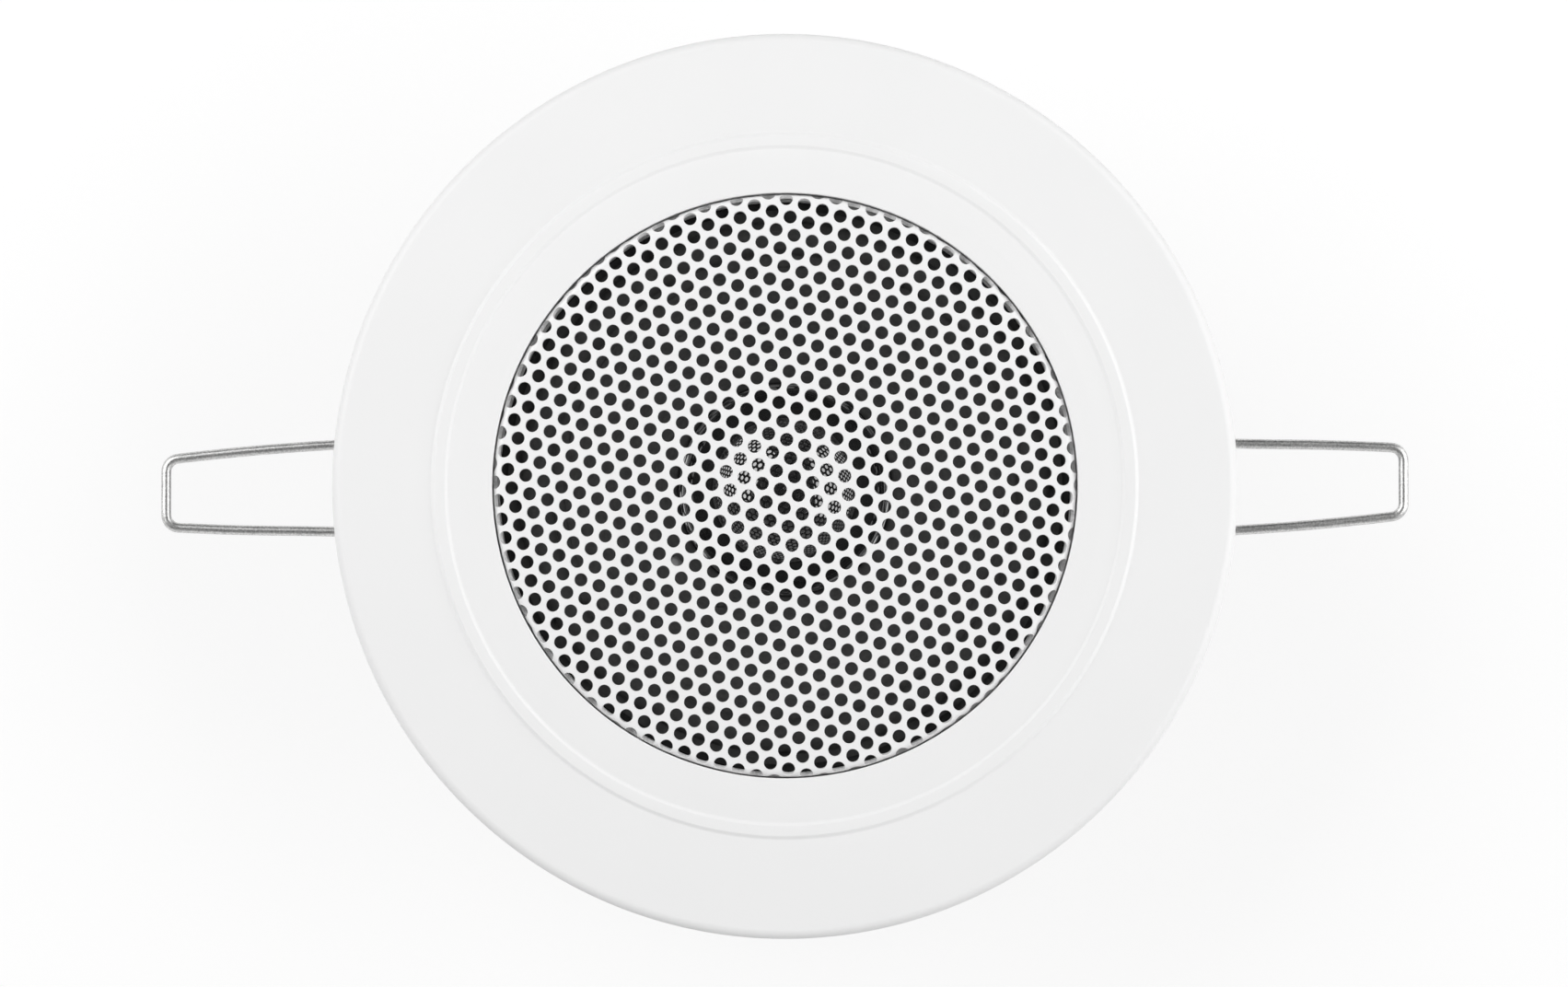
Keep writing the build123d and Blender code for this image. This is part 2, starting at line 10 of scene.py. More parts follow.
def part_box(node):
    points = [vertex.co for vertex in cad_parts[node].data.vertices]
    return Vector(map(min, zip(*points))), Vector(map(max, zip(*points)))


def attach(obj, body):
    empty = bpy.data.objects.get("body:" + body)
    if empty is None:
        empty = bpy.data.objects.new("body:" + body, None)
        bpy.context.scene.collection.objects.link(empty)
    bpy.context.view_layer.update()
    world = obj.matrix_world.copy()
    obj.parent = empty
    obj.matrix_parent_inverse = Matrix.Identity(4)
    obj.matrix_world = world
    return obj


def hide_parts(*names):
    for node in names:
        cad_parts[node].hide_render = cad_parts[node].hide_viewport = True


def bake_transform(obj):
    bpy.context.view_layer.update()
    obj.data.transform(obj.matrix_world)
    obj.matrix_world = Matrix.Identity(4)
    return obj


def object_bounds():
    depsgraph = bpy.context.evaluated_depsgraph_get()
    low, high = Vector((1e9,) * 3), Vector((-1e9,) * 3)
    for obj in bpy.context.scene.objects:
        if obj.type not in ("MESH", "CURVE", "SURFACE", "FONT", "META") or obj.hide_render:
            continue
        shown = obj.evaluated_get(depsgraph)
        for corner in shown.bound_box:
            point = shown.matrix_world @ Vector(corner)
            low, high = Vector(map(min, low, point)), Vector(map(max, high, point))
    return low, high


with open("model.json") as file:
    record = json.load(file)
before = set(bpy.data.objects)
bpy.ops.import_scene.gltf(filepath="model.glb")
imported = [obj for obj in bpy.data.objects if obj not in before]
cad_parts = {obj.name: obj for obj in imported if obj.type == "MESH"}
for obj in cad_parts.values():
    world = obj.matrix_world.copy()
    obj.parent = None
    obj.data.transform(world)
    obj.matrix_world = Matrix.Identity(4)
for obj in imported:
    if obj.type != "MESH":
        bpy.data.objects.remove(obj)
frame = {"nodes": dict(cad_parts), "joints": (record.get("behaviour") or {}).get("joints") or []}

cad_box = [list(corner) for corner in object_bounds()]


# Bezel: one white injection moulding, a broad flange with a raised band and a plain ring round the grille's
# bore. Behind it are the grille's ledge, the driver's seat, a collar and the lugs that hold the clips' pins.
# The mould was spark-eroded, which leaves a very fine satin grain on the plastic.
MM = 0.001


class Shade:
    """A socket in a finish's node tree that takes part in Python sums."""

    def __init__(self, tree, socket=None):
        self.tree = tree
        self.socket = socket

    def node(self, kind, settings=None, inputs=None, output=0):
        """Adds a node: its settings first, then the values or links of its sockets."""
        made = self.tree.nodes.new("ShaderNode" + kind)
        for name, value in (settings or {}).items():
            setattr(made, name, value)
        for name, value in (inputs or {}).items():
            if isinstance(value, Shade):
                self.tree.links.new(value.socket, made.inputs[name])
            else:
                made.inputs[name].default_value = value
        return Shade(self.tree, made.outputs[output])

    def maths(self, operation, first, second):
        """Adds a Math node."""
        return self.node("Math", {"operation": operation}, {0: first, 1: second})

    def __add__(self, other):
        return self.maths("ADD", self, other)

    def __sub__(self, other):
        return self.maths("SUBTRACT", self, other)

    def __rsub__(self, other):
        return self.maths("SUBTRACT", other, self)

    def __mul__(self, other):
        return self.maths("MULTIPLY", self, other)

    __radd__ = __add__
    __rmul__ = __mul__


def new_finish(name, constants):
    """Material whose shader has these values all over, and the start of its node tree."""
    material = bpy.data.materials.new(name)
    material.use_nodes = True
    shader = material.node_tree.nodes["Principled BSDF"]
    for socket, value in constants.items():
        shader.inputs[socket].default_value = value
    return material, Shade(material.node_tree)


def feed(material, varying):
    """Links what changes over the surface to the shader's sockets."""
    shader = material.node_tree.nodes["Principled BSDF"]
    for socket, value in varying.items():
        material.node_tree.links.new(value.socket, shader.inputs[socket])


def on_object(shade):
    """Place on the object in metres, which moves with it."""
    return shade.node("TexCoord", output="Object")


def grain(shade, scale, detail, stretch=(1.0, 1.0, 1.0)):
    """Noise fixed in the object, with a feature about 1 / scale metres across."""
    place = on_object(shade)
    place = place.node("VectorMath", {"operation": "MULTIPLY"}, {0: place, 1: stretch})
    return place.node("TexNoise", inputs={"Vector": place, "Scale": scale, "Detail": detail})


def between(mask, dark, light):
    """Colour between two others by a mask."""
    return mask.node("Mix", {"data_type": "RGBA"}, {0: mask, 6: (*dark, 1), 7: (*light, 1)}, 2)


def bumped(height, depth, strength):
    """Surface direction of a relief that is this deep, in metres."""
    return height.node("Bump", inputs={"Height": height, "Distance": depth, "Strength": strength})


def in_scene(name, data):
    """Object for a mesh, a lamp or a camera, put into the scene."""
    made = bpy.data.objects.new(name, data)
    bpy.context.scene.collection.objects.link(made)
    return made


def rounded(corners, steps=5):
    """Closed outline in metres through corners, each with its two places and its rounding in millimetres."""
    places = np.array([corner[:2] for corner in corners])
    outline = []
    for before, here, after, corner in zip(np.roll(places, 1, 0), places, np.roll(places, -1, 0), corners):
        come = (here - before) / np.linalg.norm(here - before)
        leave = (after - here) / np.linalg.norm(after - here)
        turn = math.atan2(come[0] * leave[1] - come[1] * leave[0], come @ leave)
        side = math.copysign(1, turn) * np.array((-come[1], come[0]))
        start = here - come * corner[2] * math.tan(abs(turn) / 2)
        for part in np.linspace(0, abs(turn), steps + 1):
            outline.append(start + corner[2] * (math.sin(part) * come + (1 - math.cos(part)) * side))
    return np.array(outline) * MM


def turned(name, outline, first_angle=0.0, sweep=2 * math.pi, steps=480):
    """Piece turned about Z from a closed outline of radius and height, whole or as a closed sector."""
    size = len(outline)
    whole = math.isclose(sweep, 2 * math.pi)
    stations = steps if whole else steps + 1
    angles = first_angle + sweep * np.arange(stations) / steps
    spokes = np.column_stack((np.cos(angles), np.sin(angles), 0 * angles))[:, None]
    upright = np.array((0, 0, 1))
    run = np.roll(outline, -1, 0) - np.roll(outline, 1, 0)
    run /= np.linalg.norm(run, axis=1, keepdims=True)
    points = outline[:, :1] * spokes + outline[:, 1:] * upright
    ways = run[:, 1:] * spokes - run[:, :1] * upright
    faces = []
    for step in range(steps):
        near = step * size
        far = (step + 1) % stations * size
        faces += [(near + i, far + i, far + (i + 1) % size, near + (i + 1) % size) for i in range(size)]
    if not whole:
        faces.append(list(range(size)))
        faces.append(list(range(steps * size, stations * size))[::-1])
    mesh = bpy.data.meshes.new(name)
    mesh.from_pydata(points.reshape(-1, 3).tolist(), [], faces)
    mesh.normals_split_custom_set_from_vertices(ways.reshape(-1, 3).tolist())
    return in_scene(name, mesh)


def slab(name, outline, near, far, turn, rounding):
    """Plate in millimetres, an outline in X and Z drawn out along Y, its edges rounded, turned about Z."""
    build = bmesh.new()
    ends = [[build.verts.new((x * MM, y * MM, z * MM)) for x, z in outline] for y in (near, far)]
    build.faces.new(ends[0])
    build.faces.new(ends[1][::-1])
    for first, second in zip(range(len(outline)), [*range(1, len(outline)), 0]):
        build.faces.new((ends[0][second], ends[0][first], ends[1][first], ends[1][second]))
    bmesh.ops.recalc_face_normals(build, faces=build.faces)
    sharp = [edge for edge in build.edges if edge.calc_face_angle() > math.radians(30)]
    bmesh.ops.bevel(build, geom=sharp, offset=rounding * MM, segments=3, affect="EDGES", profile=0.5,
                    clamp_overlap=True)
    build.transform(Matrix.Rotation(turn, 4, "Z"))
    mesh = bpy.data.meshes.new(name)
    build.to_mesh(mesh)
    build.free()
    mesh.shade_smooth()
    mesh.set_sharp_from_angle(angle=math.radians(40))
    return in_scene(name, mesh)


bezel_low, bezel_high = (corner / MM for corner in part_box("bezel"))
flange_radius = bezel_high.x
flange_face = 2.8
flange_back = 0.75
band_outer = 55.8
band_inner = 53.2
band_flank = 0.5
band_top = bezel_high.z
ring_foot = 2.95
ring_crest = (49.9, 3.08)
lip_top = 3.1
bore_radius = 46.19
ledge_radius = 45.3
ledge_height = -2.5
seat_radius = 48.4
seat_height = -6.0
collar_inner = 52.5
collar_outer = 54.7
collar_end = bezel_low.z
bezel_pieces = [turned("bezel_moulding", rounded((
    (flange_radius, 0.0, 0.2), (flange_radius, flange_face, 1.5), (band_outer, flange_face, 0.5),
    (band_outer - band_flank, band_top, 0.35), (band_inner + band_flank, band_top, 0.35),
    (band_inner, ring_foot, 0.5), (*ring_crest, 20.0), (bore_radius, lip_top, 0.2),
    (bore_radius, ledge_height, 0.15), (ledge_radius, ledge_height, 0.15),
    (ledge_radius, seat_height, 0.15), (seat_radius, seat_height, 0.15),
    (seat_radius, flange_back, 0.3), (collar_inner, flange_back, 0.3),
    (collar_inner, collar_end, 0.4), (collar_outer, collar_end, 0.4), (collar_outer, 0.0, 0.4),
)))]

rib_count = 6
rib_inner = 46.02
rib_outer = 46.4
rib_top = -0.6
rib_half = 0.55
rib_outline = ((rib_inner, rib_top), (rib_inner, ledge_height),
               (rib_outer, ledge_height), (rib_outer, rib_top))
for index in range(rib_count):
    rib_turn = 2 * math.pi * index / rib_count
    bezel_pieces.append(slab(f"grip_rib_{index + 1}", rib_outline, -rib_half, rib_half, rib_turn, 0.05))

pivots = {joint["name"]: Vector(joint["pos_m"]) for joint in frame["joints"] if joint["type"] == "hinge"}
pin = pivots["right_clip_swing"] / MM
lug_radius = 3.2
lug_root = 54.0
lug_near = 4.3
lug_far = 6.8
lug_arc = np.linspace(-math.pi / 2, math.pi / 2, 19)
lug_outline = [(lug_root, pin.z + lug_radius), (lug_root, pin.z - lug_radius)]
lug_outline += [(pin.x + lug_radius * math.cos(a), pin.z + lug_radius * math.sin(a)) for a in lug_arc]
pad_inner = 52.55
pad_outer = 55.1
pad_half = 15.1
pad_outline = ((pad_inner, 0.0), (pad_inner, collar_end), (pad_outer, collar_end), (pad_outer, 0.0))
for hand, turn in (("right", 0.0), ("left", math.pi)):
    bezel_pieces.append(slab(f"{hand}_clip_pad", pad_outline, -pad_half, pad_half, turn, 0.3))
    for place, near, far in (("upper", lug_near, lug_far), ("lower", -lug_far, -lug_near)):
        bezel_pieces.append(slab(f"{hand}_{place}_lug", lug_outline, near, far, turn, 0.25))

white_moulding, shade = new_finish("white_moulding", {"IOR": 1.5})
satin = grain(shade, 2600, 3)
cloud = grain(shade, 45, 2)
feed(white_moulding, {
    "Base Color": between(cloud, (0.865, 0.865, 0.865), (0.89, 0.89, 0.89)),
    "Roughness": 0.36 + 0.14 * satin,
    "Normal": bumped(satin, 0.015 * MM, 0.5),
})
for piece in bezel_pieces:
    piece.data.materials.append(white_moulding)
    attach(piece, "housing")
    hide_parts("bezel")


# Grille: steel sheet punched with fine staggered holes, drawn to a shallow dome with its rim rolled down
# into a skirt that grips the bezel's ribs. It is powder-coated white, which rounds the edges of the holes.
# The walls of the holes are coloured grey as painted shade, for the shade that falls down inside them.
grille_low, grille_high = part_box("grille")
grille_top = grille_high.z
skirt_spring = 0.18 * MM  # how far the skirt springs out towards the ribs, which the solid leaves out
grille_radius = grille_high.x + skirt_spring
sheet_thickness = 0.6 * MM
dome_edge_lean = math.radians(5.0)
rim_roll = 1.2 * MM
hole_pitch = 2.993 * MM
hole_radius = 1.04 * MM
hole_edge_round = 0.1 * MM
hole_sides = 18
hole_row_turn = math.radians(-18.17)
hole_row_reach = 22
middle_hole = np.array((-0.73, -0.72)) * MM

dome_edge_radius = grille_radius - rim_roll * (1 - math.sin(dome_edge_lean))
dome_radius = dome_edge_radius / math.sin(dome_edge_lean)
dome_run = dome_radius * dome_edge_lean
roll_run = rim_roll * (math.pi / 2 - dome_edge_lean)
roll_middle = grille_top - dome_radius + (dome_radius - rim_roll) * math.cos(dome_edge_lean)
sheet_run = dome_run + roll_run + roll_middle - grille_low.z


def drawn(flat, depth):
    """Places of the flat sheet's points once drawn, at a depth below the face, and the face's directions."""
    run = np.hypot(flat[..., 0], flat[..., 1])
    way = flat / np.maximum(run, 1e-9)[..., None]
    on_dome = run < dome_run
    lean = np.where(on_dome, run / dome_radius, dome_edge_lean + (run - dome_run) / rim_roll)
    lean = np.minimum(lean, math.pi / 2)
    reach = np.where(on_dome, dome_radius - depth, rim_roll - depth)
    radius = np.where(on_dome, 0, grille_radius - rim_roll) + reach * np.sin(lean)
    height = np.where(on_dome, grille_top - dome_radius, roll_middle) + reach * np.cos(lean)
    height = height - np.maximum(run - dome_run - roll_run, 0)
    points = np.concatenate((way * radius[..., None], height[..., None]), -1)
    facing = np.concatenate((way * np.sin(lean)[..., None], np.cos(lean)[..., None]), -1)
    return points, facing


rows = np.arange(-hole_row_reach, hole_row_reach + 1)
column, row = (grid.ravel() for grid in np.meshgrid(rows, rows))
along_row = (column + row / 2) * hole_pitch
across_rows = row * hole_pitch * math.sqrt(3) / 2
row_turn = np.array(((math.cos(hole_row_turn), math.sin(hole_row_turn)),
                     (-math.sin(hole_row_turn), math.cos(hole_row_turn))))
centres = middle_hole + np.column_stack((along_row, across_rows)) @ row_turn
centres = centres[np.hypot(*centres.T) < sheet_run + hole_pitch / 2]

# Each hole sits in a six-sided cell, whose border is shared with its neighbours and ends at the sheet's edge
smallest_cell = 0.05 * MM
same_place = 0.001 * MM
side_parts = np.linspace(0, 1, hole_sides // 6, endpoint=False)[:, None]
corner_angles = hole_row_turn + np.radians(30 + 60 * np.arange(7))
corners = hole_pitch / math.sqrt(3) * np.column_stack((np.cos(corner_angles), np.sin(corner_angles)))
border = np.concatenate([start + side_parts * (end - start) for start, end in zip(corners, corners[1:])])
borders = centres[:, None] + border
border_run = np.hypot(borders[..., 0], borders[..., 1])
on_sheet = (border_run < sheet_run - smallest_cell).any(1)
centres = centres[on_sheet]
borders = borders[on_sheet] * np.minimum(1, sheet_run / border_run[on_sheet])[..., None]
border_keys = np.round(borders.reshape(-1, 2) / same_place).astype(int)
_, first, shared = np.unique(border_keys, axis=0, return_index=True, return_inverse=True)
shared = shared.reshape(len(centres), hole_sides)
border_flat = borders.reshape(-1, 2)[first]
border_count = len(border_flat)
punched = np.hypot(*centres.T) < sheet_run - hole_radius - 2 * hole_edge_round

face_points, face_ways = drawn(border_flat, 0)
back_points, back_ways = drawn(border_flat, sheet_thickness)
points = [face_points, back_points]
ways = [face_ways, -back_ways]
loops = [shared[punched]]

# Four rings of points lead down into a hole: two round its edge, and the last two are its wall
half_way = 1 - math.sqrt(0.5)
hole_rings = ((hole_edge_round, 0, 0), (half_way * hole_edge_round, half_way * hole_edge_round, 0.5),
              (0, hole_edge_round, 1), (0, sheet_thickness, 1))
hole_angles = hole_row_turn + math.radians(30) + 2 * math.pi * np.arange(hole_sides) / hole_sides
hole_rim = np.column_stack((np.cos(hole_angles), np.sin(hole_angles)))
ring_size = punched.sum() * hole_sides
middles, _ = drawn(centres[punched], 0)
for level, (widening, depth, inward) in enumerate(hole_rings):
    ring_points, ring_ways = drawn(centres[punched][:, None] + hole_rim * (hole_radius + widening), depth)
    to_middle = middles[:, None] - ring_points
    to_middle -= (to_middle * ring_ways).sum(-1, keepdims=True) * ring_ways
    to_middle /= np.linalg.norm(to_middle, axis=-1, keepdims=True)
    ring_ways = ring_ways * (1 - inward) + to_middle * inward
    points.append(ring_points.reshape(-1, 3))
    ways.append((ring_ways / np.linalg.norm(ring_ways, axis=-1, keepdims=True)).reshape(-1, 3))
    loops.append(2 * border_count + level * ring_size + np.arange(ring_size).reshape(-1, hole_sides))
loops.append(shared[punched] + border_count)

faces = []
for outer, inner in zip(loops, loops[1:]):
    quads = np.stack((outer, np.roll(outer, -1, 1), np.roll(inner, -1, 1), inner), -1)
    faces += quads.reshape(-1, 4).tolist()
for cell in shared[~punched]:
    cell = list(dict.fromkeys(cell.tolist()))
    faces.append(cell)
    faces.append([border_count + corner for corner in reversed(cell)])
on_edge = np.hypot(*border_flat.T) > sheet_run - 2 * same_place
for cell in shared:
    for start, end in zip(cell.tolist(), np.roll(cell, -1).tolist()):
        if on_edge[start] and on_edge[end] and start != end:
            faces.append([end, start, border_count + start, border_count + end])

grille_mesh = bpy.data.meshes.new("perforated_grille")
grille_mesh.from_pydata(np.concatenate(points).tolist(), [], faces)
grille_mesh.normals_split_custom_set_from_vertices(np.concatenate(ways).tolist())
# Painted shade: a mask on the points of the hole walls, which greys the coat there for the shade inside the
# holes
hole_walls = np.zeros(len(grille_mesh.vertices))
hole_walls[-2 * ring_size:] = 1
grille_mesh.attributes.new("wall_shade_mask", "FLOAT", "POINT").data.foreach_set("value", hole_walls)
grille = in_scene("perforated_grille", grille_mesh)

powder_coat, shade = new_finish("powder_coat", {"IOR": 1.5})
peel = grain(shade, 1500, 2)
cloud = grain(shade, 60, 2)
# Painted shade: the walls of the holes take a grey in place of the white coat
wall_shade_mask = shade.node("Attribute", {"attribute_name": "wall_shade_mask"}, output="Fac")
powder_colour = between(cloud, (0.87, 0.87, 0.87), (0.9, 0.9, 0.9))
painted_wall_shade = (0.66, 0.66, 0.66, 1)
feed(powder_coat, {
    "Base Color": shade.node("Mix", {"data_type": "RGBA"}, {0: wall_shade_mask, 6: powder_colour, 7: painted_wall_shade}, 2),
    "Roughness": 0.34 + 0.12 * peel,
    "Normal": bumped(peel, 0.03 * MM, 0.5),
})
grille_mesh.materials.append(powder_coat)
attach(grille, "housing")
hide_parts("grille")


# Gasket: a ring of closed-cell foam, die-cut from sheet. It is squeezed between the bezel's seat and the
# driver's flange, so that no air leaks past the driver's edge.
def dress(node, material):
    """Gives a CAD node its finish."""
    mesh = frame["nodes"][node].data
    mesh.materials.clear()
    mesh.materials.append(material)


gasket_foam, shade = new_finish("gasket_foam", {"Roughness": 0.95, "IOR": 1.4})
cells = shade.node("TexVoronoi", inputs={"Vector": on_object(shade), "Scale": 2200.0})
feed(gasket_foam, {
    "Base Color": between(cells, (0.012, 0.012, 0.012), (0.035, 0.035, 0.036)),
    "Normal": bumped(cells, 0.15 * MM, 0.7),
})
dress("driver_gasket", gasket_foam)


# Basket: pressed sheet steel in satin black paint, with four spokes, a shelf for the spider and a rear
# plate. The paint has a fine orange peel and thins to the steel at the punched edges.
def full_range(mask, low, high):
    """Mask that goes from 0 to 1 while another goes between two values."""
    return mask.node("MapRange", {"clamp": True}, {"Value": mask, "From Min": low, "From Max": high})


basket_paint, shade = new_finish("basket_paint", {"IOR": 1.5})
peel = grain(shade, 1100, 2)
thin_paint = full_range(shade.node("NewGeometry", output="Pointiness"), 0.53, 0.6) * grain(shade, 700, 3)
feed(basket_paint, {
    "Base Color": between(thin_paint, (0.014, 0.014, 0.015), (0.16, 0.16, 0.16)),
    "Roughness": 0.34 + 0.16 * peel,
    "Normal": bumped(peel, 0.05 * MM, 0.6),
})
dress("basket", basket_paint)


# Screws, rivets and clip pins: steel with a bright zinc plate, which has a faint bluish cloud and fine
# turning marks. The screws hold the driver to the bezel, the rivets its rear plate to the magnet.
zinc_plate, shade = new_finish("zinc_plate", {"Metallic": 1.0})
cloud = grain(shade, 350, 3)
marks = grain(shade, 3000, 2)
feed(zinc_plate, {
    "Base Color": between(cloud, (0.50, 0.52, 0.55), (0.66, 0.66, 0.65)),
    "Roughness": 0.24 + 0.2 * marks,
    "Normal": bumped(marks, 0.01 * MM, 0.5),
})
for node in ("driver_screws", "plate_rivets", "right_clip_pin", "left_clip_pin"):
    dress(node, zinc_plate)


# Surround: a half roll of black rubber that lets the cone travel, glued by a flat lip to the cone's rim and
# to the basket's flange. It is made in sectors, each of which stretches between the cone and the basket.
def sheet_outline(path, thickness):
    """Closed outline of a thin sheet above a path of radius and height that runs outwards."""
    path = np.array(path)
    run = np.gradient(path, axis=0)
    run /= np.linalg.norm(run, axis=1, keepdims=True)
    upper = path + thickness * np.column_stack((-run[:, 1], run[:, 0]))
    return np.concatenate((path, upper[::-1]))


sector_count = 12
sector_steps = 16
sector = 2 * math.pi / sector_count


def stretched_sectors(name, node, outline, finish):
    """Ring in sectors turned from an outline, each with the finish, fixed in place of the CAD node."""
    for index in range(sector_count):
        piece = turned(f"{name}_{index + 1:02d}", outline, sector * index, sector, sector_steps)
        piece.data.materials.append(finish)
        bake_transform(piece)
        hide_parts(node)


surround_low, surround_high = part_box("surround")
rubber_thickness = 0.5 * MM
lip_width = 2.2 * MM
roll_outer = surround_high.x - lip_width
roll_radius = surround_high.z - surround_low.z - rubber_thickness
roll_inner = roll_outer - 2 * roll_radius
roll_arc = np.linspace(math.pi, 0, 25)
surround_path = [(roll_inner - lip_width, surround_low.z)]
surround_path += [(roll_inner + roll_radius * (1 + math.cos(a)), surround_low.z + roll_radius * math.sin(a))
                  for a in roll_arc]
surround_path += [(surround_high.x, surround_low.z)]

black_rubber, shade = new_finish("black_rubber", {"IOR": 1.5})
skin = grain(shade, 1800, 3)
feed(black_rubber, {
    "Base Color": between(skin, (0.052, 0.052, 0.052), (0.098, 0.098, 0.098)),
    "Roughness": 0.5 + 0.25 * skin,
    "Normal": bumped(skin, 0.02 * MM, 0.5),
})
surround_outline = sheet_outline(surround_path, rubber_thickness)
stretched_sectors("surround_sector", "surround", surround_outline,
                  black_rubber)


# Cone: pressed from black paper pulp, with felted fibres on its face. Its flat rim is glued under the
# surround's lip and its neck to the coil's tube.
pulp, shade = new_finish("pressed_pulp", {"IOR": 1.4})
fibres = grain(shade, 900, 5, (1.0, 1.0, 3.0))
fluff = grain(shade, 5200, 3)
feed(pulp, {
    "Base Color": between(fibres, (0.062, 0.062, 0.063), (0.135, 0.135, 0.135)),
    "Roughness": 0.62 + 0.25 * fluff,
    "Normal": bumped(fibres + 0.5 * fluff, 0.12 * MM, 0.7),
})
dress("cone", pulp)


# Dust cap: a dome of glossy black film over the voice coil. Its narrow rim lies on the cone's flank, where
# it is glued down, and is very slightly arched across its width.
cap_low, cap_high = (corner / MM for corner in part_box("dust_cap"))
cap_film = 0.5
cap_steps = 240
dome_foot = 15.7
dome_rise = cap_high.z - cap_low.z - cap_film
dome_inside = (dome_foot ** 2 + dome_rise ** 2) / (2 * dome_rise)
dome_outside = dome_inside + cap_film
dome_middle = cap_low.z + dome_rise - dome_inside
pinhole_angle = 0.0005
dome_steps = 61
cap_rim_start = 15.6
cap_rim_end = 17.0
cap_rim_root = 0.02
cap_rim_steps = 15
cap_rim_lean = math.radians(29.0)
cap_rim_arch = 16.0


def dome_edge(radius, reach):
    """Points from the top of a dome out to a reach, leaving a pinhole at its middle."""
    angles = np.linspace(pinhole_angle, math.asin(reach / radius), dome_steps)
    return np.column_stack((radius * np.sin(angles), dome_middle + radius * np.cos(angles)))


lower_dome = dome_edge(dome_inside, dome_foot)
upper_dome = dome_edge(dome_outside, cap_rim_start)
rim_places = np.linspace(cap_rim_root, cap_rim_end - cap_rim_start, cap_rim_steps)
from_middle = rim_places - rim_places.mean()
rim_arch = (from_middle[0] ** 2 - from_middle ** 2) / (2 * cap_rim_arch)
rim_heights = upper_dome[-1, 1] + rim_places * math.tan(cap_rim_lean) + rim_arch
upper_rim = np.column_stack((cap_rim_start + rim_places, rim_heights))
lower_end = upper_rim[-1] + cap_film * np.array((math.sin(cap_rim_lean), -math.cos(cap_rim_lean)))
cap_outline = np.concatenate((lower_dome, [lower_end], upper_rim[::-1], upper_dome[::-1]))
dust_cap = turned("glossy_dust_cap", cap_outline * MM, steps=cap_steps)
gloss_cap, shade = new_finish("gloss_cap", {"Base Color": (0.026, 0.026, 0.027, 1), "IOR": 2.5})
smear = grain(shade, 160, 3)
feed(gloss_cap, {"Roughness": 0.01 + 0.015 * smear})
dust_cap.data.materials.append(gloss_cap)
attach(dust_cap, "cone_assembly")
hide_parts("dust_cap")


# Voice coil: enamelled copper wire wound in one layer on a tube of amber film. The tube is glued to the
# cone's neck, and the winding hangs in the magnet's gap.
amber_film, shade = new_finish("amber_film", {"Roughness": 0.25, "IOR": 1.6})
feed(amber_film, {"Base Color": between(grain(shade, 500, 2), (0.30, 0.13, 0.02), (0.42, 0.20, 0.04))})
dress("coil_former", amber_film)

copper_winding, shade = new_finish("copper_winding", {"Metallic": 1.0, "Roughness": 0.3})
windings = shade.node("TexWave", {"bands_direction": "Z"}, {"Vector": on_object(shade), "Scale": 900.0})
feed(copper_winding, {
    "Base Color": between(windings, (0.28, 0.10, 0.04), (0.62, 0.28, 0.13)),
    "Normal": bumped(windings, 0.08 * MM, 0.8),
})
dress("voice_coil", copper_winding)


# Spider: woven cloth stiffened with amber resin and pressed into rings of waves, which keeps the coil
# centred. It is made in sectors too, stretched between the coil's tube and the basket's shelf.
spider_low, spider_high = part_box("spider")
cloth_thickness = 0.4 * MM
spider_inner = 13.05 * MM
spider_land = 1.4 * MM
wave_inner = spider_inner + spider_land
wave_outer = 24.5 * MM
wave_height = 0.7 * MM
wave_count = 5
wave_steps = 12
shelf_level = (spider_low.z + spider_high.z - cloth_thickness) / 2
wave_places = np.linspace(wave_inner, wave_outer, wave_steps * wave_count + 1)
wave_parts = (wave_places - wave_inner) / (wave_outer - wave_inner)
wave_levels = shelf_level + wave_height * np.sin(2 * math.pi * wave_count * wave_parts)
spider_path = [(spider_inner, shelf_level), *zip(wave_places, wave_levels), (spider_high.x, shelf_level)]

spider_cloth, shade = new_finish("spider_cloth", {"Roughness": 0.75})
threads = {"Vector": on_object(shade), "Scale": 600.0, "Distortion": 0.6}
warp = shade.node("TexWave", {"bands_direction": "X"}, threads)
weft = shade.node("TexWave", {"bands_direction": "Y"}, threads)
feed(spider_cloth, {
    "Base Color": between(warp * weft, (0.30, 0.19, 0.07), (0.62, 0.47, 0.24)),
    "Normal": bumped(warp + weft, 0.12 * MM, 0.8),
})
spider_outline = sheet_outline(spider_path, cloth_thickness)
stretched_sectors("spider_sector", "spider", spider_outline,
                  spider_cloth)


# Magnet system: a ground ferrite ring between a top plate and a yoke of soft iron, both zinc-plated with
# concentric turning marks. It is glued up and riveted to the basket.
plated_iron, shade = new_finish("plated_iron", {"Metallic": 1.0})
lathe_marks = shade.node("TexWave", {"wave_type": "RINGS", "rings_direction": "Z"},
                         {"Vector": on_object(shade), "Scale": 420.0, "Distortion": 1.5, "Detail": 3.0})
cloud = grain(shade, 90, 4)
feed(plated_iron, {
    "Base Color": between(cloud, (0.44, 0.45, 0.47), (0.60, 0.60, 0.58)),
    "Roughness": 0.30 + 0.12 * lathe_marks + 0.1 * cloud,
    "Normal": bumped(lathe_marks, 0.02 * MM, 0.5),
})
for node in ("top_plate", "yoke"):
    dress(node, plated_iron)

ferrite, shade = new_finish("ferrite", {"IOR": 1.9})
grit = grain(shade, 1600, 4)
blotch = grain(shade, 120, 3)
feed(ferrite, {
    "Base Color": between(blotch, (0.030, 0.030, 0.033), (0.062, 0.062, 0.066)),
    "Roughness": 0.55 + 0.25 * grit,
    "Normal": bumped(grit, 0.05 * MM, 0.6),
})
dress("magnet", ferrite)


